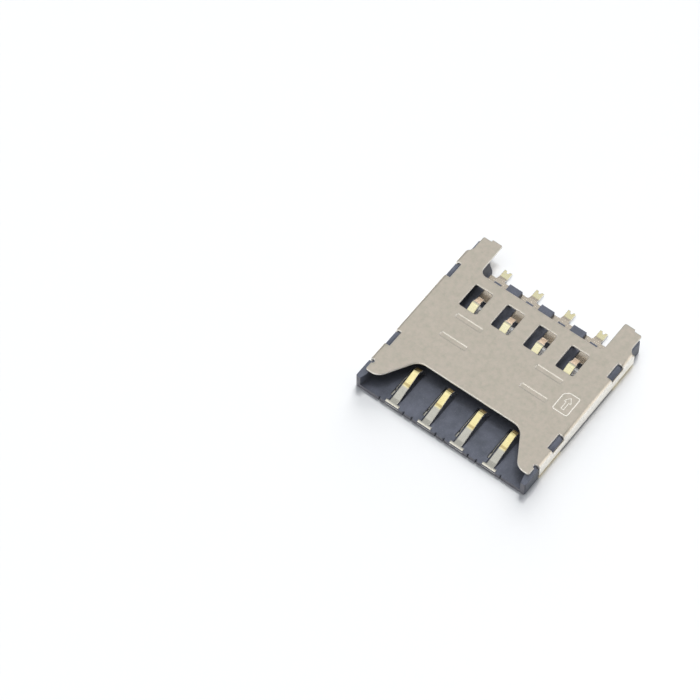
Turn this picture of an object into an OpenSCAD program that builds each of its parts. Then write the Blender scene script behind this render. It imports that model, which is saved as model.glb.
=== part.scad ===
// Card socket for a 12 mm wide subscriber card: moulded housing, folded metal shell, eight terminals.
// Lengths run back from the housing's front edge; the whole is centred at the end.

/* [Card slot] */
// Width of the card that slides in
card_w = 12.0; // [11.8:0.05:12.3]
// Thickness of the card
card_t = 0.76; // [0.6:0.02:0.84]
// Free play at each side of the card
card_side_gap = 0.15; // [0.1:0.01:0.2]
// Free play above the card
card_top_gap = 0.09; // [0.07:0.01:0.15]

/* [Housing] */
// Thickness of the floor under the card
floor_t = 0.35; // [0.32:0.01:0.5]
// Thickness of each side rail behind the mouth
rail_t = 0.35; // [0.3:0.01:0.45]
// Length of the floor, front edge to rear edge
floor_l = 11.86; // [11.7:0.02:12.0]
// Reach of the housing's rear arms behind the floor
arm_l = 1.24; // [1.0:0.02:1.3]
// Width of each rear arm
arm_w = 0.95; // [0.8:0.05:1.1]
// Length of the wide cheek at each side of the mouth
cheek_l = 1.45; // [1.2:0.05:1.5]
// Length of the mouth's lead-in bevel
lead_l = 0.55; // [0.3:0.05:0.8]
// Depth of the mouth's lead-in bevel
lead_d = 0.15; // [0.08:0.01:0.2]
// Width of each stop block at the rear
stop_w = 1.0; // [0.8:0.05:1.0]
// Length of each stop block, up to the floor's rear edge
stop_l = 1.27; // [1.15:0.02:1.35]
// Height of each stop block above the floor
stop_h = 0.2; // [0.15:0.01:0.4]

/* [Shell] */
// Sheet thickness of the shell
sheet_t = 0.15; // [0.12:0.01:0.18]
// Outside radius of the shell's bends
bend_r = 0.25; // [0.22:0.01:0.3]
// Straight front edge of the shell
shell_front = 3.22; // [3.1:0.02:3.4]
// How far the shell's rear edge stands in front of the floor's rear edge
shell_inset = 0.94; // [0.84:0.02:1.0]
// Front end of the front ears
front_ear = 0.72; // [0.6:0.02:0.9]
// Reach of the rear ears behind the floor
rear_ear_l = 1.64; // [1.4:0.02:1.7]
// Front end of the side walls
wall_front = 1.6; // [1.58:0.02:1.7]
// Reach of the side walls behind the floor
wall_reach = 0.14; // [0.1:0.02:0.24]
// Height of the side walls' lower edge above the board
wall_lift = 0.2; // [0.16:0.02:0.3]
// Length of each soldered foot
foot_l = 2.35; // [2.2:0.05:2.4]
// Reach of each foot under the housing
foot_w = 0.88; // [0.8:0.02:0.95]
// Length of the notch in each foot
foot_notch_l = 0.68; // [0.5:0.02:0.8]
// Depth of the notch in each foot
foot_notch_d = 0.41; // [0.3:0.01:0.45]

/* [Shell openings] */
// Width of each top window
window_w = 1.42; // [1.3:0.01:1.5]
// Length of each top window
window_l = 1.92; // [1.8:0.02:2.0]
// How far the top windows start in front of the rear contact points
window_lead = 0.9; // [0.8:0.02:1.0]
// Length of each side window
latch_l = 1.28; // [1.1:0.02:1.4]
// Reach of each side window onto the top face
latch_in = 0.45; // [0.4:0.01:0.5]
// Depth of each side window down the wall
latch_down = 0.4; // [0.35:0.01:0.5]
// Length of each pressed rib
rib_l = 2.1; // [1.9:0.05:2.3]
// Width of each pressed rib
rib_w = 0.4; // [0.3:0.02:0.5]
// Depth of each pressed rib
rib_d = 0.03; // [0.03:0.01:0.06]

/* [Terminals] */
// Spacing of the terminals across the socket
pitch = 2.54; // [2.5:0.01:2.54]
// Strip thickness of the terminals
strip_t = 0.12; // [0.1:0.01:0.13]
// Width of a spring tongue at its root
tongue_w = 0.55; // [0.45:0.01:0.6]
// Width of a spring tongue at its tip
tip_w = 0.43; // [0.35:0.01:0.45]
// Height of the contact points above the board
contact_z = 0.96; // [0.9:0.01:1.0]
// Place of the front row's contact points
front_contact_y = 2.66; // [2.6:0.02:2.8]
// Distance of the rear row's contact points from the floor's rear edge
rear_contact_inset = 2.76; // [2.66:0.02:2.86]
// Width of the bar at the front of a front terminal
bar_w = 1.05; // [0.9:0.05:1.2]
// Width of a rear terminal's solder tail
tail_w = 0.6; // [0.5:0.02:0.65]
// Reach of the rear solder tails behind the floor
tail_l = 0.92; // [0.76:0.02:1.0]

/* [Hidden] */

// Straight pieces in each rounded corner
arc_steps = 8;
// Overlap where two pieces of one solid join, and overshoot of a cut
eps = 0.05;
// Play between a pressed part and its seat
seat_gap = 0.05;
// Number of terminals in a row
per_row = 4;

// Places that follow the floor's rear edge
housing_l = floor_l + arm_l;
shell_rear = floor_l - shell_inset;
rear_ear = floor_l + rear_ear_l;
wall_rear = floor_l + wall_reach;
rear_contact_y = floor_l - rear_contact_inset;
window_front = rear_contact_y - window_lead;
tail_end = floor_l + tail_l;
// Slot and heights
slot_half = card_w / 2 + card_side_gap;
rail_top = floor_t + card_t + card_top_gap;
shell_top = rail_top + sheet_t;
// Half widths of the housing behind the mouth, of the shell, and of the top face's flat part
rail_half = slot_half + rail_t;
shell_half = rail_half + sheet_t;
flat_half = shell_half - bend_r;
bend_mid_r = bend_r - sheet_t / 2;
// Levels of the strip that is moulded into the floor
plate_z = strip_t;
plate_mid = plate_z + strip_t / 2;
plate_top = plate_z + strip_t;

// Front ears of the shell: width at the root and at the tip, rounding, relief at the bend's end
front_root_w = 2.4;
front_tip_w = 0.93;
flank_in = flat_half - front_root_w;
flank_out = flat_half - front_tip_w;
flank_r = 0.95;
tip_r = 0.12;
relief_d = 0.3;
// Rear ears of the shell: setback from the bends and its slant, width, step at the end, root fillet
ear_setback = 0.12;
ear_slant_l = 0.25;
ear_out = flat_half - ear_setback;
rear_ear_w = 1.42;
ear_step_w = 0.62;
ear_in = ear_out - rear_ear_w;
ear_mid = ear_out - ear_step_w;
ear_lip_l = 0.15;
ear_root_r = 0.5;
window_r = 0.15;
// How far the top windows' middles stand to the left of the terminals
window_shift = 0.045;
// Front ends of the side windows
latch_front_y = 3.0;
latch_rear_inset = 2.5;
latch_y = [latch_front_y, wall_rear - latch_rear_inset];
// Middles of the pressed ribs, in front of the top windows
rib_x = 3.16;
rib_lead = 0.76;
rib_spacing = 1.7;
rib_y = [window_front - rib_lead - rib_spacing, window_front - rib_lead];

// Housing: edge break inside the shell's bends, rear arms, stops
bend_play = 0.02;
edge_break = bend_r - sheet_t + bend_play;
arm_in = flat_half - arm_w;
arm_bevel = 0.15;
arm_root_w = 1.76;
arm_root_lean = 0.36;
arm_root_l = 0.24;
arm_root_in = flat_half - arm_root_w;
arm_root_end = floor_l + arm_root_l;
stop_front = floor_l - stop_l;
stop_top = floor_t + stop_h;
foot_in = shell_half - foot_w;
foot_y = [wall_front, wall_rear - foot_l];
// Shallow rebate under the side rails between the feet, and longer pocket in front of the rear feet
rebate_d = 0.04;
pocket_run = 0.4;

// Front terminals: embedded wings, underside prongs, trough and holes of the floor
wing_half = 1.0;
wing_end = 3.2;
wing_front = 0.22;
trough_left = 0.55;
trough_right = 0.38;
trough_front = 0.62;
trough_r = 0.1;
root_gap = 0.1;
root_half = tongue_w / 2 + root_gap;
trough_deep = 1.66;
trough_end = 3.25;
front_pocket_y = 2.55;
front_pocket_half = 0.45;
front_pocket_d = 0.05;
front_hole_y = 2.95;
front_hole_left = 0.32;
front_hole_right = 0.02;
front_floor_t = 0.11;
// Strip edge that shows along the left side of each front trough, with a tab and a gap in front
strip_lap = 0.06;
strip_front = 1.26;
tab_lap = 0.11;
tab_front = 0.7;
tab_end = 1.09;
tab_gap = 0.05;
lobe_half = 0.83;
lobe_l = 0.5;
prong_out = 0.77;
prong_in = 0.47;
prong_end = 1.5;
prong_gap = 0.1;
prong_recess = 0.06;
lobe_front = 0.06;
web_l = 0.3;
wrap_r = 0.12;
wrap_flat = strip_t / 2 + wrap_r;
thin_floor = 0.06;

// Rear terminals: embedded plate, tongue cut-out, slot at the tail
plate_half = 0.65;
tongue_l = 1.95;
tongue_root = rear_contact_y - tongue_l;
plate_lead = 0.95;
plate_front = tongue_root - plate_lead;
cutout_half = 0.4;
cutout_lap = 0.8;
cutout_end = rear_contact_y + cutout_lap;
base_half = (pitch - stop_w) / 2;
base_l = 0.95;
slot_w = 0.56;
slot_l = 0.84;
slot_inset = 1.08;
slot_front = floor_l - slot_inset;
slot_end = slot_front + slot_l;
drop_l = 0.35;
notch_w = 0.3;
notch_d = 0.16;

// Rounding of feet and ribs
foot_r = 0.2;
rib_r = 0.04;
// Spring tongues: bend at the root, round contact point, angle and length of the tip
root_r = 0.8;
front_root = 0.55;
front_crest_r = 0.3;
front_tip_angle = 35;
front_tip_l = 0.3;
rear_crest_r = 0.4;
rear_tip_angle = 18;
rear_tip_l = 0.52;
// Holes of the floor: slots over the wings' edges, holes under the rear tongues, pilot holes, gate recess
side_slot = 0.2;
side_slot_l = 1.35;
rear_hole_half = 0.485;
rear_hole_l = 0.73;
rear_hole_lap = 0.22;
rear_hole_y = rear_contact_y - rear_hole_lap;
pilot_half = 0.225;
pilot_inset = 0.18;
pilot_y = plate_front + pilot_inset;
gate_y = 4.7;
gate_d = 1.0;
gate_stub_d = 0.36;
gate_h = 0.12;
latch_play = 0.06;
latch_gap = 0.1;
latch_rise = 0.03;

function unit(v) = v / norm(v);
function turn_left(v) = [-v[1], v[0]];
function xy(p) = [p[0], p[1]];
function terminal_x(i) = (i - (per_row + 1) / 2) * pitch;

// Points of the arc of radius r that rounds the corner b between the legs to a and c
function round_corner(a, b, c, r) =
    r == 0 ? [b] :
    let (u = unit(a - b),
         v = unit(c - b),
         half = acos(u * v) / 2,
         centre = b + unit(u + v) * r / sin(half),
         start = b + u * r / tan(half) - centre,
         end = b + v * r / tan(half) - centre,
         from = atan2(start[1], start[0]),
         turn = atan2(end[1], end[0]) - from,
         sweep = turn > 180 ? turn - 360 : turn < -180 ? turn + 360 : turn)
    [for (i = [0 : arc_steps])
        let (a = from + sweep * i / arc_steps)
        centre + r * [cos(a), sin(a)]];

// A closed outline and an open path from corners given as [x, y, radius]
function rounded_outline(c) =
    let (n = len(c))
    [for (i = [0 : n - 1])
        each round_corner(xy(c[(i + n - 1) % n]), xy(c[i]), xy(c[(i + 1) % n]), c[i][2])];
function rounded_path(c) =
    let (n = len(c))
    [xy(c[0]),
     for (i = [1 : n - 2]) each round_corner(xy(c[i - 1]), xy(c[i]), xy(c[i + 1]), c[i][2]),
     xy(c[n - 1])];

// Outline of a strip of thickness t along an open path
function path_side(p, i) =
    let (n = len(p),
         before = turn_left(unit(i == 0 ? p[1] - p[0] : p[i] - p[i - 1])),
         after = turn_left(unit(i == n - 1 ? p[i] - p[i - 1] : p[i + 1] - p[i])),
         middle = unit(before + after))
    middle / (middle * before);
function strip_outline(p, t) =
    let (n = len(p))
    [for (i = [0 : n - 1]) p[i] + path_side(p, i) * t / 2,
     for (i = [n - 1 : -1 : 0]) p[i] - path_side(p, i) * t / 2];

// Corners of one half of an outline, and the same mirrored to close it
function mirrored(half) =
    [each half, for (i = [len(half) - 1 : -1 : 0]) [-half[i][0], half[i][1], half[i][2]]];

function mirrored_points(half) =
    [each half, for (i = [len(half) - 1 : -1 : 0]) [-half[i][0], half[i][1]]];

module along_y(y0, y1) {
    translate([0, y1, 0])
        rotate([90, 0, 0])
            linear_extrude(y1 - y0) children();
}

module across_x(half) {
    translate([-half, 0, 0])
        rotate([90, 0, 90])
            linear_extrude(2 * half) children();
}

module slab(z0, z1) {
    translate([0, 0, z0])
        linear_extrude(z1 - z0) children();
}

module block(x0, x1, y0, y1, z0, z1) {
    translate([x0, y0, z0])
        cube([x1 - x0, y1 - y0, z1 - z0]);
}

module both_sides() {
    children();
    mirror([1, 0, 0]) children();
}

module each_terminal() {
    for (i = [1 : per_row])
        translate([terminal_x(i), 0, 0]) children();
}

// Path of a spring tongue: level from start to root, up to a round contact point, then down to the tip
function tongue_path(start, root, point, r, tip_angle, tip_l) =
    let (centre = point - [0, r],
         leg = centre - root,
         slope = atan2(leg[1], leg[0]) + asin(r / norm(leg)),
         first = 90 + slope,
         last = 90 - tip_angle,
         crest = [for (i = [0 : arc_steps])
                     let (a = first + (last - first) * i / arc_steps)
                     centre + r * [cos(a), sin(a)]],
         tip = crest[arc_steps] + tip_l * [cos(tip_angle), -sin(tip_angle)])
    [start, each round_corner(start, root, crest[0], root_r), each crest, tip];

// Shell

module shell_top_outline() {
    polygon(rounded_outline(mirrored([
        [flank_in, shell_front, flank_r],
        [flank_out, front_ear, flank_r],
        [flat_half, front_ear, tip_r],
        [flat_half, wall_rear, 0],
        [ear_out, wall_rear + ear_slant_l, 0],
        [ear_out, rear_ear - ear_lip_l, tip_r],
        [ear_mid, rear_ear - ear_lip_l, 0],
        [ear_mid, rear_ear, 0],
        [ear_in, rear_ear, tip_r],
        [ear_in, shell_rear, ear_root_r]])));
}

// Bent side of the shell, from its lower edge up to the flat top
module side_section() {
    polygon(strip_outline(rounded_path([
        [shell_half - sheet_t / 2, wall_lift],
        [shell_half - sheet_t / 2, shell_top - sheet_t / 2, bend_mid_r],
        [flat_half - bend_r, shell_top - sheet_t / 2]]), sheet_t));
}

// The same with the foot that is folded under
module foot_section() {
    polygon(strip_outline(rounded_path([
        [foot_in, sheet_t / 2],
        [shell_half - sheet_t / 2, sheet_t / 2, bend_mid_r],
        [shell_half - sheet_t / 2, shell_top - sheet_t / 2, bend_mid_r],
        [flat_half - bend_r, shell_top - sheet_t / 2]]), sheet_t));
}

module foot_notch(play) {
    polygon(rounded_outline([
        [foot_in - eps, (foot_l - foot_notch_l) / 2 + play, 0],
        [foot_in + foot_notch_d - play, (foot_l - foot_notch_l) / 2 + play, window_r],
        [foot_in + foot_notch_d - play, (foot_l + foot_notch_l) / 2 - play, window_r],
        [foot_in - eps, (foot_l + foot_notch_l) / 2 - play, 0]]));
}

// Trims that round the two inner corners of a foot
module foot_corner_trim() {
    difference() {
        translate([foot_in - eps, -eps])
            square([foot_r + eps, foot_l + 2 * eps]);
        polygon(rounded_outline([
            [foot_in, 0, foot_r],
            [shell_half, 0, 0],
            [shell_half, foot_l, 0],
            [foot_in, foot_l, foot_r]]));
    }
}

// Slanting end of a bend, in line with the rear ear
module bend_trim() {
    polygon([
        [flat_half, wall_rear],
        [shell_half + eps, wall_rear - ear_slant_l],
        [shell_half + eps, wall_rear + eps],
        [flat_half, wall_rear + eps]]);
}

module top_window() {
    polygon(rounded_outline([
        [-window_w / 2 - window_shift, window_front, window_r],
        [window_w / 2 - window_shift, window_front, window_r],
        [window_w / 2 - window_shift, window_front + window_l, window_r],
        [-window_w / 2 - window_shift, window_front + window_l, window_r]]));
}

module rib_outline(shrink) {
    polygon(rounded_outline([
        [-rib_l / 2 + shrink, -rib_w / 2 + shrink, rib_r],
        [rib_l / 2 - shrink, -rib_w / 2 + shrink, rib_r],
        [rib_l / 2 - shrink, rib_w / 2 - shrink, rib_r],
        [-rib_l / 2 + shrink, rib_w / 2 - shrink, rib_r]]));
}

module each_rib() {
    for (y = rib_y)
        both_sides()
            translate([rib_x, y, 0]) children();
}

module shell_blank() {
    slab(rail_top, shell_top) shell_top_outline();
    both_sides() {
        along_y(wall_front, wall_rear) side_section();
        for (y = foot_y)
            along_y(y, y + foot_l) foot_section();
    }
    each_rib()
        slab(rail_top - rib_d, rail_top + eps) rib_outline(0);
}

module shell() {
    color("#c1b9aa")
        difference() {
            shell_blank();
            each_terminal()
                slab(rail_top - eps, shell_top + eps) top_window();
            each_rib()
                slab(shell_top - rib_d, shell_top + eps) rib_outline(rib_r);
            both_sides() {
                translate([flat_half, wall_front - relief_d / 2, rail_top - eps])
                    cylinder(d = relief_d, h = sheet_t + 2 * eps, $fn = 32);
                slab(shell_top - bend_r, shell_top + eps) bend_trim();
                for (y = latch_y)
                    block(shell_half - latch_in, shell_half + eps, y, y + latch_l,
                          shell_top - latch_down, shell_top + eps);
                for (y = foot_y)
                    translate([0, y, 0])
                        slab(-eps, sheet_t + eps) {
                            foot_notch(0);
                            foot_corner_trim();
                        }
            }
        }
}

// Terminals of the front row

module prong_plan() {
    polygon(rounded_outline(mirrored([
        [bar_w / 2, wrap_flat, 0],
        [bar_w / 2, lobe_front, 0],
        [lobe_half, lobe_front, tip_r / 2],
        [lobe_half, lobe_l, tip_r],
        [prong_out - strip_t / 2, lobe_l + strip_t, 0],
        [prong_out, lobe_l + 3 * strip_t, 0],
        [prong_out, prong_end, tip_r],
        [prong_in, prong_end, tip_r],
        [prong_in, lobe_l + 3 * strip_t, 0],
        [prong_in + strip_t / 2, lobe_l + strip_t, 0],
        [prong_in - strip_t, lobe_l, tip_r / 2],
        [prong_in - strip_t, web_l, strip_t]])));
}

module wing_plan() {
    polygon([
        [trough_right, wing_front],
        [lobe_half, wing_front],
        [wing_half, lobe_l],
        [wing_half, wing_end],
        [trough_right, wing_end]]);
    polygon([
        [-trough_left, wing_front],
        [-trough_left, tab_front],
        [tab_lap - trough_left, tab_front],
        [tab_lap - trough_left, tab_end],
        [-trough_left - tab_gap, tab_end],
        [-trough_left - tab_gap, strip_front],
        [strip_lap - trough_left, strip_front],
        [strip_lap - trough_left, wing_end],
        [-wing_half, wing_end],
        [-wing_half, lobe_l],
        [-lobe_half, wing_front]]);
}

module front_wrap() {
    across_x(bar_w / 2)
        polygon(strip_outline(rounded_path([
            [wing_front, floor_t],
            [strip_t / 2, floor_t, wrap_r],
            [strip_t / 2, strip_t / 2, wrap_r],
            [web_l, strip_t / 2]]), strip_t));
}

// What is moulded into the floor
module front_base() {
    front_wrap();
    slab(0, strip_t) prong_plan();
    slab(plate_z, plate_top) wing_plan();
}

module front_tongue() {
    intersection() {
        across_x(tongue_w)
            polygon(strip_outline(tongue_path(
                [wing_front - eps, floor_t], [front_root, floor_t],
                [front_contact_y, contact_z - strip_t / 2],
                front_crest_r, front_tip_angle, front_tip_l), strip_t));
        slab(0, shell_top)
            polygon(mirrored_points([
                [tongue_w / 2, 0],
                [tongue_w / 2, front_root],
                [tip_w / 2, front_contact_y],
                [tip_w / 2, trough_end]]));
    }
}

module front_contact(i) {
    color("#d8b45a")
        translate([terminal_x(i), 0, 0]) {
            front_base();
            front_tongue();
        }
}

// Terminals of the rear row

module rear_plate_plan() {
    difference() {
        polygon(rounded_outline(mirrored([
            [plate_half, plate_front, tip_r],
            [plate_half, floor_l - base_l - strip_t, 0],
            [base_half, floor_l - base_l, 0],
            [base_half, floor_l, 0],
            [tail_w / 2, floor_l, strip_t],
            [tail_w / 2, floor_l + strip_t, 0]])));
        translate([-cutout_half, tongue_root])
            square([2 * cutout_half, cutout_end - tongue_root]);
        translate([-slot_w / 2, slot_front])
            square([slot_w, slot_end - slot_front]);
    }
}

module rear_base() {
    slab(plate_z, plate_top) rear_plate_plan();
}

module rear_tongue() {
    intersection() {
        across_x(tongue_w)
            polygon(strip_outline(tongue_path(
                [tongue_root - 3 * strip_t, plate_mid], [tongue_root, plate_mid],
                [rear_contact_y, contact_z - strip_t / 2],
                rear_crest_r, rear_tip_angle, rear_tip_l), strip_t));
        slab(0, shell_top)
            polygon(mirrored_points([
                [tongue_w / 2, tongue_root - 2 * strip_t],
                [tongue_w / 2, rear_contact_y + strip_t],
                [tip_w / 2, rear_contact_y + 2 * strip_t],
                [tip_w / 2, cutout_end]]));
    }
}

module rear_tail() {
    difference() {
        across_x(tail_w / 2)
            polygon(strip_outline(rounded_path([
                [slot_end, plate_mid],
                [floor_l + strip_t, plate_mid, strip_t],
                [floor_l + drop_l, strip_t / 2, strip_t],
                [tail_end, strip_t / 2]]), strip_t));
        slab(-eps, strip_t + eps)
            polygon([
                [-notch_w / 2, tail_end + eps],
                [-notch_w / 6, tail_end - notch_d],
                [notch_w / 6, tail_end - notch_d],
                [notch_w / 2, tail_end + eps]]);
    }
}

module rear_contact(i) {
    color("#d8b45a")
        translate([terminal_x(i), 0, 0]) {
            rear_base();
            rear_tongue();
            rear_tail();
        }
}

// Housing

module housing_outline() {
    polygon(rounded_outline(mirrored([
        [shell_half, 0, tip_r],
        [shell_half, cheek_l, 0],
        [rail_half, cheek_l, 0],
        [rail_half, wall_rear, 0],
        [flat_half, wall_rear, 0],
        [flat_half, housing_l - arm_bevel, 0],
        [flat_half - arm_bevel, housing_l, 0],
        [arm_in, housing_l, 0],
        [arm_in, arm_root_end, 0],
        [arm_root_in, arm_root_end, 0],
        [arm_root_in, floor_l, 0]])));
}

// Space for the card, flared at the mouth
module slot_outline() {
    polygon([for (p = mirrored([
        [slot_half + lead_d, -eps, 0],
        [slot_half + lead_d, 0, 0],
        [slot_half, lead_l, 0],
        [slot_half, stop_front, 0]])) xy(p)]);
}

module edge_prism(x, z, y0, y1, rise) {
    along_y(y0, y1)
        polygon([
            [x + eps, z + rise * eps],
            [x - edge_break - eps, z + rise * eps],
            [x + eps, z - rise * (edge_break + eps)]]);
}

module front_floor_cuts() {
    block(-root_half, root_half, wing_front, trough_front + eps, plate_top, rail_top);
    slab(plate_z, rail_top)
        polygon(rounded_outline([
            [trough_right, trough_front, trough_r],
            [trough_right, trough_end, trough_r],
            [-trough_left, trough_end, trough_r],
            [-trough_left, trough_front, trough_r]]));
    block(-trough_left, trough_right, trough_deep, trough_end - trough_r, front_floor_t, rail_top);
    block(-front_pocket_half, front_pocket_half, front_pocket_y, trough_end - seat_gap, -eps, front_pocket_d);
    block(-front_hole_left, front_hole_right, front_hole_y, trough_end - trough_r, -eps, floor_t);
    both_sides() {
        block(prong_in - prong_gap, prong_out + prong_gap,
              lobe_l - eps, prong_end + prong_gap, -eps, prong_recess);
        block(wing_half - side_slot / 2, wing_half + side_slot / 2,
              wing_end - side_slot_l, wing_end - prong_gap, -eps, plate_top);
        block(wing_half - side_slot / 2, wing_half, -eps, strip_t, -eps, floor_t + eps);
    }
}

module rear_floor_cuts() {
    block(-cutout_half, cutout_half, tongue_root - 2 * strip_t, cutout_end, plate_top, rail_top);
    block(-cutout_half, cutout_half, tongue_root, cutout_end, thin_floor, rail_top);
    block(-rear_hole_half, rear_hole_half, rear_hole_y, rear_hole_y + rear_hole_l, -eps, plate_z);
    block(-pilot_half, pilot_half, pilot_y, pilot_y + 2 * pilot_half, -eps, plate_z);
    block(-slot_w / 2, slot_w / 2, slot_front, slot_front + slot_w, -eps, floor_t);
    block(-cutout_half, cutout_half, cutout_end - eps, floor_l - base_l, plate_top, rail_top);
    block(-base_half, base_half, floor_l - base_l - eps, floor_l + eps, plate_top, rail_top);
}

module latch_nub(y) {
    along_y(y + latch_play, y + latch_l - latch_gap)
        polygon([
            [shell_half - latch_in + latch_gap, rail_top - eps],
            [shell_half - latch_in + latch_gap, rail_top + latch_rise],
            [rail_half - latch_play, rail_top + latch_rise],
            [shell_half - latch_play, rail_top - latch_play],
            [shell_half - latch_play, shell_top - latch_down + latch_play],
            [rail_half - eps, shell_top - latch_down + latch_play]]);
}

module housing_blank() {
    difference() {
        slab(0, rail_top) housing_outline();
        slab(floor_t, rail_top + eps) slot_outline();
        along_y(stop_front - eps, housing_l)
            polygon(mirrored_points([
                [arm_root_in, floor_t],
                [arm_root_in + arm_root_lean, rail_top],
                [arm_root_in + arm_root_lean, rail_top + eps]]));
        both_sides() {
            edge_prism(rail_half, rail_top, cheek_l, wall_rear + eps, 1);
            for (y = foot_y) {
                edge_prism(rail_half, sheet_t, y - seat_gap, y + foot_l + seat_gap, -1);
                difference() {
                    block(foot_in - seat_gap, shell_half + eps,
                          y - seat_gap, y + foot_l + seat_gap, -eps, sheet_t);
                    translate([0, y, 0])
                        slab(-2 * eps, sheet_t + eps) foot_notch(seat_gap);
                }
            }
            block(foot_in - seat_gap, shell_half + eps,
                  foot_y[1] - pocket_run, foot_y[1], -eps, sheet_t);
            block(foot_in - seat_gap, shell_half + eps,
                  foot_y[0] + foot_l, foot_y[1], -eps, rebate_d);
        }
    }
    for (i = [1 : per_row - 1])
        translate([(terminal_x(i) + terminal_x(i + 1)) / 2, 0, 0])
            block(-stop_w / 2, stop_w / 2, stop_front, floor_l, floor_t - eps, stop_top);
    both_sides()
        for (y = latch_y) latch_nub(y);
}

module housing() {
    color("#2b2e36")
        difference() {
            housing_blank();
            each_terminal() {
                front_base();
                front_floor_cuts();
                rear_base();
                rear_floor_cuts();
            }
            translate([0, gate_y, -eps])
                difference() {
                    cylinder(d = gate_d, h = gate_h + eps, $fn = 48);
                    cylinder(d = gate_stub_d, h = gate_h + eps, $fn = 32);
                }
        }
}

// The whole, with its middle over the origin
module centred() {
    translate([0, -rear_ear / 2, 0]) children();
}

centred() housing();
centred() shell();
centred() front_contact(1);  // front_contact_1
centred() front_contact(2);  // front_contact_2
centred() front_contact(3);  // front_contact_3
centred() front_contact(4);  // front_contact_4
centred() rear_contact(1);  // rear_contact_1
centred() rear_contact(2);  // rear_contact_2
centred() rear_contact(3);  // rear_contact_3
centred() rear_contact(4);  // rear_contact_4
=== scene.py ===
# %% [markdown]
# # A card socket, close up
# The part is a surface-mount socket about 13 mm square. A black moulded housing holds two rows of spring
# terminals, and a folded sheet-metal shell covers it. The shapes come from CAD and are loaded as a fixed
# frame, so this lesson is about what CAD leaves out: broken edges, metal and plastic finishes, a stamped
# sign, light and a camera.

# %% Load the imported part
import math

import bmesh
import bpy
from mathutils import Matrix, Vector


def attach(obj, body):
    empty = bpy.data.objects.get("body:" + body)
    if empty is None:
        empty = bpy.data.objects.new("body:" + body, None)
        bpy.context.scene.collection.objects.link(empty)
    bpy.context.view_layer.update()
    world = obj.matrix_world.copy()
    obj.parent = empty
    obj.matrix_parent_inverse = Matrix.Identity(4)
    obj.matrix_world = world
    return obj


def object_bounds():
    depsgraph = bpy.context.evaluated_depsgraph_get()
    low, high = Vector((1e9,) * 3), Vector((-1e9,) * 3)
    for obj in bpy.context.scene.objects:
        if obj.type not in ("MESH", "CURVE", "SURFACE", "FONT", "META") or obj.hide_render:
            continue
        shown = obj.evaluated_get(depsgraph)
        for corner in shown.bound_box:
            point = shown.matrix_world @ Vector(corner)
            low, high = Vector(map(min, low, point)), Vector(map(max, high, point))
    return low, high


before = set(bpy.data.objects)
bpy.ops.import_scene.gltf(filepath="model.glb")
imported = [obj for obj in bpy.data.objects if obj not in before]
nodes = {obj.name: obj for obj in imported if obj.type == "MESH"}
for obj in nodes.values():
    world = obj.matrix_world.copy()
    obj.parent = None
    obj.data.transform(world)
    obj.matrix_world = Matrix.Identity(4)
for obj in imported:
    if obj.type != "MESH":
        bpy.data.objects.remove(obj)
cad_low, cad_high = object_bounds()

MM = 0.001
half_length = -cad_low.y / MM
top_z = cad_high.z
print("nodes:", ", ".join(sorted(nodes)))
print("size in mm:", [round(side / MM, 3) for side in cad_high - cad_low])

# %% [markdown]
# ## Camera
# The part is seen from the front right and from high above, through a long lens that keeps its edges nearly
# parallel. A camera can be aimed with a constraint, but here its axes are worked out from an azimuth and an
# elevation. The aim point is set off to one side, so that the socket stands right of the middle.

# %% Place the camera
AZIMUTH, ELEVATION = 37.23, 59.01
DISTANCE, LENS = 230 * MM, 184.2
AIM_RIGHT, AIM_UP = -9.741 * MM, 1.067 * MM


def direction(azimuth, elevation):
    """Unit vector towards an azimuth and elevation in degrees; azimuth 0 is straight in front."""
    a, e = math.radians(azimuth), math.radians(elevation)
    return Vector((math.sin(a) * math.cos(e), -math.cos(a) * math.cos(e), math.sin(e)))


toward_camera = direction(AZIMUTH, ELEVATION)
screen_right = direction(AZIMUTH + 90, 0)
screen_up = toward_camera.cross(screen_right)
place = AIM_RIGHT * screen_right + AIM_UP * screen_up + DISTANCE * toward_camera

camera_data = bpy.data.cameras.new("camera")
camera_data.lens = LENS
camera_data.sensor_width = 36
camera_data.clip_start, camera_data.clip_end = 0.01, 10
camera = bpy.data.objects.new("camera", camera_data)
turn = Matrix((screen_right, screen_up, toward_camera)).transposed()
camera.matrix_world = Matrix.Translation(place) @ turn.to_4x4()
bpy.context.scene.collection.objects.link(camera)
bpy.context.scene.camera = camera
print("camera at", [round(c / MM, 1) for c in place], "mm, lens", LENS, "mm")

# %% [markdown]
# ## Floor and light
# Small parts are photographed on a glossy white sheet inside a light tent. The tent is the world: even
# behind, where the flat shell mirrors it, dim in front, so that the floor darkens along the front edge, and
# with a soft box overhead that the sloping tongues mirror. Lit planes could do the same, but a sky of a few
# smooth ramps shows no borders in the metal. Two lamps light the floor and the plastic: the key lamp, high
# up behind, keeps the foot of the shadow narrow and dark, and a strong, wide lamp low behind the part draws
# a long soft shadow towards the camera. Both are hidden from glossy rays, as a polarising filter would do,
# so that they leave no hot spots on the metal. Two cards do the opposite: they stand low in front and at
# the right, light nothing, and are only mirrored, by edges that face them.

# %% Helpers for node trees
def add_node(tree, kind, inputs=None, **settings):
    """Places a node, sets its options, and fills its inputs with plain values or links."""
    node = tree.nodes.new(kind)
    for name, value in settings.items():
        setattr(node, name, value)
    for key, value in (inputs or {}).items():
        if isinstance(value, bpy.types.NodeSocket):
            tree.links.new(value, node.inputs[key])
        else:
            node.inputs[key].default_value = value
    return node


def new_material(name):
    """A material with an empty tree and its Principled shader."""
    material = bpy.data.materials.new(name)
    material.use_nodes = True
    material.node_tree.nodes.clear()
    shader = add_node(material.node_tree, "ShaderNodeBsdfPrincipled")
    add_node(material.node_tree, "ShaderNodeOutputMaterial", {"Surface": shader.outputs["BSDF"]})
    return material, material.node_tree, shader


print("helpers ready")

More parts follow.
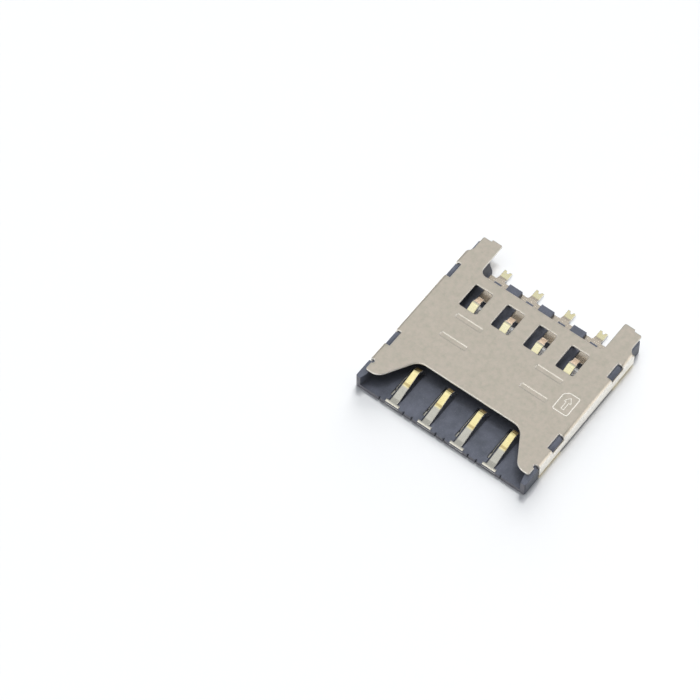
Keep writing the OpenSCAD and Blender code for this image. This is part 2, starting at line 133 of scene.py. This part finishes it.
# %% Floor, world and lamps
bpy.context.scene.view_settings.view_transform = "Standard"

floor_half = 0.6
floor_mesh = bpy.data.meshes.new("floor")
floor_mesh.from_pydata([(-floor_half, -floor_half, 0), (floor_half, -floor_half, 0),
                        (floor_half, floor_half, 0), (-floor_half, floor_half, 0)], [], [(0, 1, 2, 3)])
floor = bpy.data.objects.new("floor", floor_mesh)
bpy.context.scene.collection.objects.link(floor)
floor_paint, tree, shader = new_material("white_sweep")
shader.inputs["Base Color"].default_value = (0.90, 0.915, 0.945, 1)
shader.inputs["Roughness"].default_value = 0.07
shader.inputs["IOR"].default_value = 2.6
floor_mesh.materials.append(floor_paint)

TENT_FRONT, TENT_LOW, TENT_ROOF, SOFT_BOX = 0.13, 0.40, 0.75, 0.66
TENT_BACK, BOX_PLACE = direction(197, 20), direction(306, 65)
BOX_CORE, BOX_RIM = math.cos(math.radians(14)), math.cos(math.radians(28))
world = bpy.data.worlds.new("studio")
bpy.context.scene.world = world
world.use_nodes = True
backdrop = world.node_tree.nodes["Background"]


def ramp(value, start, end, first, last):
    """A world value that goes smoothly from first to last while the input goes from start to end."""
    return add_node(world.node_tree, "ShaderNodeMapRange", {0: value, 1: start, 2: end, 3: first, 4: last},
                    interpolation_type="SMOOTHSTEP").outputs[0]


sky_place = add_node(world.node_tree, "ShaderNodeTexCoord").outputs["Generated"]
height = add_node(world.node_tree, "ShaderNodeSeparateXYZ", {0: sky_place}).outputs["Z"]
behind = add_node(world.node_tree, "ShaderNodeVectorMath", {0: sky_place, 1: TENT_BACK},
                  operation="DOT_PRODUCT").outputs["Value"]
overhead = add_node(world.node_tree, "ShaderNodeVectorMath", {0: sky_place, 1: BOX_PLACE},
                    operation="DOT_PRODUCT").outputs["Value"]
rear = ramp(height, 0.3, 0.7, TENT_LOW, TENT_ROOF)
tent = add_node(world.node_tree, "ShaderNodeMix", {
    0: ramp(behind, 0.05, 0.6, 0.0, 1.0), 2: TENT_FRONT, 3: rear}, data_type="FLOAT").outputs[0]
box = ramp(overhead, BOX_RIM, BOX_CORE, 0.0, SOFT_BOX)
strength = add_node(world.node_tree, "ShaderNodeMath", {0: tent, 1: box}, operation="ADD").outputs[0]
world.node_tree.links.new(strength, backdrop.inputs["Strength"])
backdrop.inputs["Color"].default_value = (0.94, 0.97, 1.0, 1)


def distant_lamp(name, source, strength, angle, colour, mirrored):
    """A far lamp in a direction: it either lights matt surfaces or is only mirrored by glossy ones."""
    lamp_data = bpy.data.lights.new(name, "SUN")
    lamp_data.energy, lamp_data.angle, lamp_data.color = strength, math.radians(angle), colour
    lamp = bpy.data.objects.new(name, lamp_data)
    lamp.visible_glossy, lamp.visible_diffuse = mirrored, not mirrored
    lamp.rotation_mode = "QUATERNION"
    lamp.rotation_quaternion = source.to_track_quat("Z", "Y")
    bpy.context.scene.collection.objects.link(lamp)
    return lamp


WARM, WHITE = (1.0, 0.975, 0.93), (1.0, 0.99, 0.96)
lamps = [distant_lamp("key_lamp", direction(196, 63), 1.36, 18, WARM, False),
         distant_lamp("low_lamp", direction(207, 19), 3.5, 50, WARM, False),
         distant_lamp("front_card", direction(345, 24), 1.6, 76, WHITE, True),
         distant_lamp("right_card", direction(112, 16), 0.85, 60, WHITE, True)]
print("lamps:", ", ".join(lamp.name for lamp in lamps), "in a tent with a soft box overhead")

# %% [markdown]
# ## Shared effects
# Several finishes need the same things: where a point lies on the part, a soft-edged zone, an uneven tone,
# a fine grain, and a mask along the edges. Each is a node group with named sockets, built once. A group
# hands on values that change over the surface, and each material mixes them with its own colours.

# %% Build the node groups
def new_group(name, inputs, outputs):
    """An empty group with float sockets, and a vector for a normal; inputs are names with values."""
    tree = bpy.data.node_groups.new(name, "ShaderNodeTree")
    for label, value in inputs:
        tree.interface.new_socket(label, in_out="INPUT", socket_type="NodeSocketFloat").default_value = value
    for label in outputs:
        kind = "NodeSocketVector" if label == "Normal" else "NodeSocketFloat"
        tree.interface.new_socket(label, in_out="OUTPUT", socket_type=kind)
    return tree, tree.nodes.new("NodeGroupInput").outputs, tree.nodes.new("NodeGroupOutput").inputs


def math_node(tree, operation, a, b=0.0):
    """The output of one Math node."""
    return add_node(tree, "ShaderNodeMath", {0: a, 1: b}, operation=operation).outputs[0]


def millimetres(tree):
    """The point on the part, in millimetres."""
    place = add_node(tree, "ShaderNodeTexCoord").outputs["Object"]
    return add_node(tree, "ShaderNodeVectorMath", {0: place, "Scale": 1 / MM}, operation="SCALE").outputs[0]


place_tree, _, out = new_group("place_on_socket", [], ["Across", "Back", "Up"])
split = add_node(place_tree, "ShaderNodeSeparateXYZ", {0: millimetres(place_tree)})
place_tree.links.new(split.outputs["X"], out["Across"])
place_tree.links.new(math_node(place_tree, "ADD", split.outputs["Y"], half_length), out["Back"])
place_tree.links.new(split.outputs["Z"], out["Up"])

band_tree, given, out = new_group(
    "soft_band", [("Value", 0), ("Low", 0), ("High", 1), ("Soft", 0.1)], ["Mask"])


def soft_step(limit, first, last):
    """A value that goes from first to last as the band's input passes a limit."""
    start = math_node(band_tree, "SUBTRACT", limit, given["Soft"])
    end = math_node(band_tree, "ADD", limit, given["Soft"])
    return add_node(band_tree, "ShaderNodeMapRange", {
        0: given["Value"], 1: start, 2: end, 3: first, 4: last}, interpolation_type="SMOOTHSTEP").outputs[0]


rise, fall = soft_step(given["Low"], 0.0, 1.0), soft_step(given["High"], 1.0, 0.0)
band_tree.links.new(math_node(band_tree, "MULTIPLY", rise, fall), out["Mask"])

mottle_tree, given, out = new_group("mottle", [("Scale", 1.0), ("Low", 0.0), ("High", 1.0)], ["Tone"])
clouds = add_node(mottle_tree, "ShaderNodeTexNoise", {
    "Vector": millimetres(mottle_tree), "Scale": given["Scale"], "Detail": 5.0, "Roughness": 0.62})
spread = add_node(mottle_tree, "ShaderNodeMapRange", {
    0: clouds.outputs[0], 1: 0.3, 2: 0.7, 3: given["Low"], 4: given["High"]})
mottle_tree.links.new(spread.outputs[0], out["Tone"])

grain_tree, given, out = new_group("fine_grain", [("Scale", 20.0), ("Stretch", 1.0)], ["Height", "Specks"])
across_grain = add_node(grain_tree, "ShaderNodeSeparateXYZ", {0: millimetres(grain_tree)})
stretched = math_node(grain_tree, "DIVIDE", across_grain.outputs["Y"], given["Stretch"])
drawn = add_node(grain_tree, "ShaderNodeCombineXYZ", {
    "X": across_grain.outputs["X"], "Y": stretched, "Z": across_grain.outputs["Z"]})
sand = add_node(grain_tree, "ShaderNodeTexNoise", {
    "Vector": drawn.outputs[0], "Scale": given["Scale"], "Detail": 3.0, "Roughness": 0.55})
specks = add_node(grain_tree, "ShaderNodeMapRange", {0: sand.outputs[0], 1: 0.56, 2: 0.74})
grain_tree.links.new(sand.outputs[0], out["Height"])
grain_tree.links.new(specks.outputs[0], out["Specks"])

edge_tree, given, out = new_group("edge_shine", [("Radius", 0.03)], ["Mask", "Normal"])
rounded = add_node(edge_tree, "ShaderNodeBevel", {
    "Radius": math_node(edge_tree, "MULTIPLY", given["Radius"], MM)}, samples=6)
straight = add_node(edge_tree, "ShaderNodeNewGeometry").outputs["Normal"]
turned = add_node(edge_tree, "ShaderNodeVectorMath", {
    0: rounded.outputs[0], 1: straight}, operation="DOT_PRODUCT").outputs["Value"]
edge = add_node(edge_tree, "ShaderNodeMapRange", {0: turned, 1: 0.98, 2: 0.80, 3: 0.0, 4: 1.0})
edge_tree.links.new(edge.outputs[0], out["Mask"])
edge_tree.links.new(rounded.outputs[0], out["Normal"])

upright_tree, _, out = new_group("upright_faces", [], ["Mask", "Forward"])
facing = add_node(upright_tree, "ShaderNodeSeparateXYZ", {
    0: add_node(upright_tree, "ShaderNodeNewGeometry").outputs["Normal"]})
level = math_node(upright_tree, "ABSOLUTE", facing.outputs["Z"])
steep = add_node(upright_tree, "ShaderNodeMapRange", {0: level, 1: 0.75, 2: 0.35, 3: 0.0, 4: 1.0})
forward = add_node(upright_tree, "ShaderNodeMapRange", {
    0: facing.outputs["Y"], 1: -0.6, 2: -0.9, 3: 0.0, 4: 1.0})
upright_tree.links.new(steep.outputs[0], out["Mask"])
upright_tree.links.new(forward.outputs[0], out["Forward"])
print("groups:", ", ".join(group.name for group in bpy.data.node_groups))

# %% Place a group in a material
def effect(tree, group, **values):
    """Places a node group; values go to the inputs of the same name."""
    return add_node(tree, "ShaderNodeGroup", values, node_tree=group).outputs


def zone(tree, value, low, high, soft):
    """A mask of 1 between two limits, which fades over a soft distance."""
    return effect(tree, band_tree, Value=value, Low=low, High=high, Soft=soft)["Mask"]


def mixed(tree, share, first, second):
    """Colour that goes from first to second as share goes from 0 to 1."""
    return add_node(tree, "ShaderNodeMix", {0: share, 6: first, 7: second}, data_type="RGBA").outputs[2]


def bump(tree, height, strength, depth, normal):
    """A normal that a height disturbs; depth is in millimetres."""
    return add_node(tree, "ShaderNodeBump", {
        "Height": height, "Strength": strength, "Distance": depth * MM, "Normal": normal}).outputs[0]


def either(tree, *masks):
    """The largest of several masks."""
    total = masks[0]
    for mask in masks[1:]:
        total = math_node(tree, "MAXIMUM", total, mask)
    return total


def both(tree, *masks):
    """Several masks at once."""
    total = masks[0]
    for mask in masks[1:]:
        total = math_node(tree, "MULTIPLY", total, mask)
    return total


print("material helpers ready")

# %% [markdown]
# ## Shell: satin nickel with gilded feet
# The shell is thin copper alloy sheet, nickel plated to a satin grey with a warm cast, and its feet are
# flashed with gold so that they take solder. Rolled sheet is never quite even, so a slow mottle shifts the
# tone and the gloss, a quicker one turns it slightly green or rose, and a fine grain breaks up the
# reflection. Edges and upright faces, walls too, are painted pale as a painted highlight, which on the cut
# edges is partly the bright metal where the tool sheared them. Upright faces are rougher.

# %% Shell finish
shell_metal, tree, shader = new_material("satin_nickel")
NICKEL_GREEN, NICKEL_ROSE = (0.655, 0.605, 0.495, 1), (0.795, 0.690, 0.590, 1)
NICKEL_LIGHT = (0.77, 0.69, 0.575, 1)
EDGE_HIGHLIGHT_PALE = (1.0, 0.975, 0.92, 1)
FOOT_GOLD = (0.86, 0.73, 0.42, 1)
where = effect(tree, place_tree)
tone = effect(tree, mottle_tree, Scale=1.6, Low=0.0, High=0.5)["Tone"]
tint = effect(tree, mottle_tree, Scale=3.2, Low=0.0, High=1.0)["Tone"]
grain = effect(tree, grain_tree, Scale=14.0, Stretch=1.0)
edges = effect(tree, edge_tree, Radius=0.1)
front_foot = zone(tree, where["Back"], 1.6, 3.95, 0.02)
rear_foot = zone(tree, where["Back"], 9.65, 12.0, 0.02)
low_down = zone(tree, where["Up"], -1.0, 0.2, 0.06)
gilded = both(tree, low_down, either(tree, front_foot, rear_foot))
sheet_colour = mixed(tree, tone, mixed(tree, tint, NICKEL_GREEN, NICKEL_ROSE), NICKEL_LIGHT)
# Painted highlight: edges and upright faces, walls too, go pale; on cut edges partly the sheared metal's own
# bright finish.
upright_highlit = effect(tree, upright_tree)["Mask"]
painted_edge_highlight = either(tree, edges["Mask"], upright_highlit)
sheet_colour = mixed(tree, painted_edge_highlight, sheet_colour, EDGE_HIGHLIGHT_PALE)
sheet_colour = mixed(tree, gilded, sheet_colour, FOOT_GOLD)
tree.links.new(sheet_colour, shader.inputs["Base Color"])
gloss = effect(tree, mottle_tree, Scale=2.7, Low=0.34, High=0.44)["Tone"]
torn = math_node(tree, "MULTIPLY", upright_highlit, 0.25)
tree.links.new(math_node(tree, "ADD", gloss, torn), shader.inputs["Roughness"])
tree.links.new(bump(tree, grain["Height"], 0.12, 0.01, edges["Normal"]), shader.inputs["Normal"])
shader.inputs["Metallic"].default_value = 1.0
print("shell finish:", shell_metal.name)

# %% [markdown]
# ## Housing: filled black plastic
# The housing is moulded from a glass-filled resin that stands soldering heat. It is a blue-black with a
# dull sheen, finely speckled where the filler shows, and a patch round the gate underneath was left rough
# by the mould. A bump from the grain gives the dull sheen, and a zone on the underside makes the patch
# coarser.

# %% Housing finish
housing_resin, tree, shader = new_material("filled_black_resin")
RESIN, RESIN_BLUE = (0.054, 0.063, 0.088, 1), (0.097, 0.108, 0.150, 1)
# The paler front grey is painted light on the housing's front faces.
FILLER, FRONT_LIT_GREY = (0.20, 0.21, 0.25, 1), (0.19, 0.185, 0.22, 1)
where = effect(tree, place_tree)
tone = effect(tree, mottle_tree, Scale=1.3, Low=0.0, High=1.0)["Tone"]
grain = effect(tree, grain_tree, Scale=13.0, Stretch=1.0)
coarse = effect(tree, grain_tree, Scale=9.0, Stretch=1.0)
edges = effect(tree, edge_tree, Radius=0.04)
patch = both(tree, zone(tree, where["Across"], -1.25, 1.25, 0.02),
             zone(tree, where["Back"], 3.9, 7.15, 0.02),
             zone(tree, where["Up"], -1.0, 0.02, 0.01))
# Painted light: the front faces of the housing are painted a paler grey, as if lit from the front.
lit_front_face = both(tree, effect(tree, upright_tree)["Forward"],
             zone(tree, where["Back"], -1.0, 0.05, 0.02))
resin_colour = mixed(tree, tone, RESIN, RESIN_BLUE)
resin_colour = mixed(tree, lit_front_face, resin_colour, FRONT_LIT_GREY)
resin_colour = mixed(tree, math_node(tree, "MULTIPLY", grain["Specks"], 0.35), resin_colour, FILLER)
resin_colour = mixed(tree, both(tree, patch, coarse["Specks"]), resin_colour, FILLER)
# Painted highlight: the edges are mixed towards the pale filler grey.
resin_colour = mixed(tree, math_node(tree, "MULTIPLY", edges["Mask"], 0.4), resin_colour, FILLER)
tree.links.new(resin_colour, shader.inputs["Base Color"])
gloss = effect(tree, mottle_tree, Scale=3.0, Low=0.44, High=0.58)["Tone"]
tree.links.new(gloss, shader.inputs["Roughness"])
tree.links.new(bump(tree, grain["Height"], 0.5, 0.02, edges["Normal"]), shader.inputs["Normal"])
shader.inputs["Specular IOR Level"].default_value = 0.9
print("housing finish:", housing_resin.name)

# %% [markdown]
# ## Terminals: nickel with gold where it counts
# Each terminal is a strip of spring bronze, nickel plated all over and gold plated only where it touches
# the card or takes solder. The two platings meet in a soft line, so one material per row mixes two metals
# by a mask: a zone along the length, joined with a zone by height. Fine streaks along the strip are the
# marks of rolling.

# %% Terminal finishes
FRONT_GOLDS = (0.98, 0.87, 0.47, 1), (0.84, 0.66, 0.28, 1)
REAR_GOLDS = (1.0, 0.93, 0.62, 1), (0.95, 0.82, 0.46, 1)
NICKEL = (0.55, 0.525, 0.455, 1)
# The brown of the front tips is painted shade, where they lie in the shell's shadow; the rear tips are
# coloured tan.
TIP_SHADE_BROWN, TIP_TAN = (0.40, 0.28, 0.11, 1), (0.74, 0.57, 0.43, 1)


def terminal_metal(name, gold_mask_of, golds, tip_mask_of, tip_colour):
    """Nickel strip with gold zones and a coloured tip, which on the front tongues is painted shade; two
    functions build masks from the place.
    """
    material, tree, shader = new_material(name)
    where = effect(tree, place_tree)
    streaks = effect(tree, grain_tree, Scale=9.0, Stretch=6.0)
    tone = effect(tree, mottle_tree, Scale=2.2, Low=0.0, High=1.0)["Tone"]
    edges = effect(tree, edge_tree, Radius=0.06)
    gold = mixed(tree, math_node(tree, "MULTIPLY", tone, 0.55), *golds)
    strip = mixed(tree, gold_mask_of(tree, where), NICKEL, gold)
    # Tip colour: painted shade on the front tongues, a tan colour on the rear ones.
    tip_shade_and_tone = tip_mask_of(tree, where)
    strip = mixed(tree, tip_shade_and_tone, strip, tip_colour)
    # Painted highlight: the rounded edges and the cut sides of the strip are mixed towards a pale colour.
    upright_highlit = effect(tree, upright_tree)["Mask"]
    rim_highlight = math_node(tree, "MULTIPLY", edges["Mask"], 0.8)
    strip = mixed(tree, either(tree, rim_highlight, upright_highlit), strip, EDGE_HIGHLIGHT_PALE)
    tree.links.new(strip, shader.inputs["Base Color"])
    gloss = effect(tree, mottle_tree, Scale=4.0, Low=0.18, High=0.30)["Tone"]
    tree.links.new(gloss, shader.inputs["Roughness"])
    tree.links.new(bump(tree, streaks["Height"], 0.2, 0.01, edges["Normal"]), shader.inputs["Normal"])
    dulled = math_node(tree, "MULTIPLY", tip_shade_and_tone, 0.6)
    tree.links.new(math_node(tree, "SUBTRACT", 1.0, dulled), shader.inputs["Metallic"])
    return material


def front_gold(tree, where):
    """Gold on the risen part of a front tongue and under its prong."""
    tongue = both(tree, zone(tree, where["Back"], 1.5, 5.0, 0.12),
                  zone(tree, where["Up"], 0.26, 2.0, 0.02))
    prong = both(tree, zone(tree, where["Back"], 0.62, 1.6, 0.05),
                 zone(tree, where["Up"], -1.0, 0.1, 0.02))
    return either(tree, tongue, prong)


def rear_gold(tree, where):
    """Gold on the risen part of a rear tongue and on its soldered tail."""
    tongue = both(tree, zone(tree, where["Back"], 7.4, 9.12, 0.06),
                  zone(tree, where["Up"], 0.3, 2.0, 0.05))
    tail = zone(tree, where["Back"], 12.2, 20.0, 0.1)
    return either(tree, tongue, tail)


def front_tip(tree, where):
    """A faint brown band where the gold begins, and painted shade: the brown end of a front tongue, in the
    shell's shadow.
    """
    # A faint brown band where the gold begins.
    brown_band = zone(tree, where["Back"], 1.58, 1.74, 0.06)
    # Painted shade: the end of the tongue, in the shell's shadow, is coloured brown.
    tip = zone(tree, where["Back"], 2.84, 5.0, 0.06)
    high_up = zone(tree, where["Up"], 0.4, 2.0, 0.02)
    return both(tree, high_up, either(tree, math_node(tree, "MULTIPLY", brown_band, 0.6), tip))


def rear_tip(tree, where):
    """The tan end of a rear tongue, and a hint of it on the low root."""
    tip = both(tree, zone(tree, where["Back"], 9.2, 10.4, 0.05),
               zone(tree, where["Up"], 0.4, 2.0, 0.05))
    root = both(tree, zone(tree, where["Back"], 9.4, 12.2, 0.1),
                zone(tree, where["Up"], -1.0, 0.35, 0.02))
    return either(tree, tip, math_node(tree, "MULTIPLY", root, 0.35))


front_metal = terminal_metal("front_terminal_plating", front_gold, FRONT_GOLDS, front_tip, TIP_SHADE_BROWN)
rear_metal = terminal_metal("rear_terminal_plating", rear_gold, REAR_GOLDS, rear_tip, TIP_TAN)
print("terminal finishes:", front_metal.name, rear_metal.name)

# %% [markdown]
# ## Broken edges
# CAD edges are perfectly sharp, and a sharp edge never catches light. The loaded meshes are triangles with
# doubled points, so a Weld joins the points. On the shell and the housing a planar Decimate then turns flat
# runs of triangles into whole faces, and a Bevel breaks the edges by a hair. Geometry nodes choose those
# edges by rule: every edge that turns by a large angle, except low down at the feet, where thin steps meet,
# and in two zones whose details are finer than the bevel, the ribs and the reliefs at the ends of the
# bends. The terminals are too thin for it, and the rounded normals of their finish do the same work. A last
# small tree shades everything smooth except across sharp angles.

# %% Geometry nodes for edges
def geometry_group(name):
    """An empty geometry tree with its way in and out, and the angle across each edge."""
    tree = bpy.data.node_groups.new(name, "GeometryNodeTree")
    tree.interface.new_socket("Geometry", in_out="INPUT", socket_type="NodeSocketGeometry")
    tree.interface.new_socket("Geometry", in_out="OUTPUT", socket_type="NodeSocketGeometry")
    angle = add_node(tree, "GeometryNodeInputMeshEdgeAngle").outputs[0]
    way_in, way_out = tree.nodes.new("NodeGroupInput"), tree.nodes.new("NodeGroupOutput")
    return tree, way_in.outputs[0], way_out.inputs[0], angle


def smooth_by_angle(limit):
    """Shades a mesh smooth, and sharp where two faces meet at more than the limit."""
    tree, mesh_in, mesh_out, angle = geometry_group("smooth_by_angle")
    sharp = add_node(tree, "FunctionNodeCompare", {0: angle, 1: limit}, operation="GREATER_THAN").outputs[0]
    faces = add_node(tree, "GeometryNodeSetShadeSmooth", {
        "Geometry": mesh_in, "Shade Smooth": True}, domain="FACE").outputs[0]
    edges = add_node(tree, "GeometryNodeSetShadeSmooth", {
        "Geometry": faces, "Selection": sharp, "Shade Smooth": False}, domain="EDGE").outputs[0]
    tree.links.new(edges, mesh_out)
    return tree


def edges_to_break(limit, lowest, zones):
    """Marks edges that turn by more than the limit, above a height and outside zones of (across, back)."""
    tree, mesh_in, mesh_out, angle = geometry_group("edges_to_break")
    point = add_node(tree, "GeometryNodeInputPosition").outputs[0]
    middle = add_node(tree, "ShaderNodeSeparateXYZ", {0: point})
    high_up = math_node(tree, "GREATER_THAN", middle.outputs["Z"], lowest * MM)
    share = math_node(tree, "MULTIPLY", math_node(tree, "GREATER_THAN", angle, limit), high_up)
    across = math_node(tree, "ABSOLUTE", middle.outputs["X"])
    back = math_node(tree, "ADD", middle.outputs["Y"], half_length * MM)
    for across_range, back_range in zones:
        inside = 1.0
        for place, (low, high) in ((across, across_range), (back, back_range)):
            inside = math_node(tree, "MULTIPLY", inside, math_node(tree, "GREATER_THAN", place, low * MM))
            inside = math_node(tree, "MULTIPLY", inside, math_node(tree, "LESS_THAN", place, high * MM))
        share = math_node(tree, "MULTIPLY", share, math_node(tree, "SUBTRACT", 1.0, inside))
    marked = add_node(tree, "GeometryNodeStoreNamedAttribute", {
        "Geometry": mesh_in, "Name": "bevel_weight_edge", "Value": share}, data_type="FLOAT", domain="EDGE")
    tree.links.new(marked.outputs[0], mesh_out)
    return tree


SMOOTH_LIMIT, BREAK_LIMIT = math.radians(32), math.radians(35)
RIB_ZONE, RELIEF_ZONE = ((1.9, 4.4), (5.0, 7.85)), ((6.0, 6.8), (1.2, 2.0))
LOWEST_BROKEN = 0.25
shading = smooth_by_angle(SMOOTH_LIMIT)
marks = edges_to_break(BREAK_LIMIT, LOWEST_BROKEN, [RIB_ZONE, RELIEF_ZONE])
print("edge trees ready")

# %% Edge modifiers and finishes on the nodes
SHELL_BREAK, HOUSING_BREAK, NO_BREAK = 0.02, 0.015, 0
WELD_REACH, FLAT_LIMIT = 0.0005, math.radians(0.5)


def dress(node, material, broken_edge):
    """Gives a CAD node its finish and breaks its edges by so many millimetres."""
    node.data.materials.clear()
    node.data.materials.append(material)
    weld = node.modifiers.new("join_points", "WELD")
    weld.merge_threshold = WELD_REACH * MM
    if broken_edge:
        flat = node.modifiers.new("whole_faces", "DECIMATE")
        flat.decimate_type, flat.angle_limit = "DISSOLVE", FLAT_LIMIT
        node.modifiers.new("edges_to_break", "NODES").node_group = marks
        bevel = node.modifiers.new("broken_edges", "BEVEL")
        bevel.width, bevel.segments, bevel.limit_method = broken_edge * MM, 2, "WEIGHT"
        bevel.use_clamp_overlap, bevel.miter_outer = False, "MITER_ARC"
    node.modifiers.new("shading", "NODES").node_group = shading
    even = node.modifiers.new("flat_faces_stay_flat", "WEIGHTED_NORMAL")
    even.mode, even.weight, even.keep_sharp = "FACE_AREA", 100, True


for name, node in sorted(nodes.items()):
    if name == "shell":
        dress(node, shell_metal, SHELL_BREAK)
    elif name == "housing":
        dress(node, housing_resin, HOUSING_BREAK)
    elif name.startswith("front"):
        dress(node, front_metal, NO_BREAK)
    else:
        dress(node, rear_metal, NO_BREAK)
    print(name, "has", len(node.data.polygons), "CAD faces and", len(node.modifiers), "modifiers")

# %% [markdown]
# ## Direction sign
# A small sign on the shell shows which way the card goes in: the outline of a card with one cut corner, and
# a hollow arrow that points to the back. It could be painted on with a mask, but a stamped line has a
# height that catches light from every side, so each line is modelled as a low ridge with sloping flanks,
# following a path of corners.

# %% Model the sign
LINE_WIDTH, LINE_RISE = 0.085, 0.008
CARD_SIGN = [(4.745, 5.57), (5.85, 5.57), (5.85, 7.11), (5.08, 7.11), (4.745, 6.84)]
ARROW_SIGN = [(5.215, 5.85), (5.415, 5.85), (5.415, 6.44), (5.59, 6.44), (5.32, 6.84), (5.06, 6.44),
              (5.215, 6.44)]
RIDGE_PROFILE = ((-0.5, -0.5), (-0.28, 1.0), (0.28, 1.0), (0.5, -0.5))
SIGN_DARK, SIGN_PALE = (0.78, 0.75, 0.69, 1), (0.90, 0.87, 0.80, 1)


def rounded_loop(corners, radius, steps=5):
    """The corners of a closed path, each cut by a short arc."""
    points = []
    for i, corner in enumerate(corners):
        here = Vector(corner)
        before, after = Vector(corners[i - 1]) - here, Vector(corners[(i + 1) % len(corners)]) - here
        cut = min(radius, before.length * 0.45, after.length * 0.45)
        start, end = here + before.normalized() * cut, here + after.normalized() * cut
        for k in range(steps + 1):
            t = k / steps
            points.append(start * (1 - t) ** 2 + here * 2 * t * (1 - t) + end * t * t)
    return points


def ridge_loop(mesh, points, width, rise):
    """A closed ridge of that width along the points, standing on the shell's top."""
    rings = []
    count = len(points)
    for i, point in enumerate(points):
        run = (points[(i + 1) % count] - points[i - 1]).normalized()
        side = Vector((-run.y, run.x))
        ring = []
        for offset, lift in RIDGE_PROFILE:
            at = point + side * offset * width
            ring.append(mesh.verts.new((at.x * MM, (at.y - half_length) * MM, top_z + lift * rise * MM)))
        rings.append(ring)
    for i, ring in enumerate(rings):
        following = rings[(i + 1) % count]
        for k in range(4):
            mesh.faces.new((ring[k], ring[(k + 1) % 4], following[(k + 1) % 4], following[k]))


sign_mesh = bmesh.new()
ridge_loop(sign_mesh, rounded_loop(CARD_SIGN, 0.14), LINE_WIDTH, LINE_RISE)
ridge_loop(sign_mesh, rounded_loop(ARROW_SIGN, 0.03, 2), LINE_WIDTH * 0.75, LINE_RISE)
bmesh.ops.recalc_face_normals(sign_mesh, faces=sign_mesh.faces)
sign_data = bpy.data.meshes.new("direction_sign")
sign_mesh.to_mesh(sign_data)
sign_mesh.free()
sign = bpy.data.objects.new("direction_sign", sign_data)
bpy.context.scene.collection.objects.link(sign)

sign_metal, tree, shader = new_material("stamped_line")
tone = effect(tree, mottle_tree, Scale=6.0, Low=0.0, High=1.0)["Tone"]
tree.links.new(mixed(tree, tone, SIGN_DARK, SIGN_PALE), shader.inputs["Base Color"])
tree.links.new(effect(tree, mottle_tree, Scale=9.0, Low=0.45, High=0.6)["Tone"], shader.inputs["Roughness"])
shader.inputs["Metallic"].default_value = 0.3
sign_data.materials.append(sign_metal)
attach(sign, "root")
print("sign:", len(sign_data.polygons), "faces")
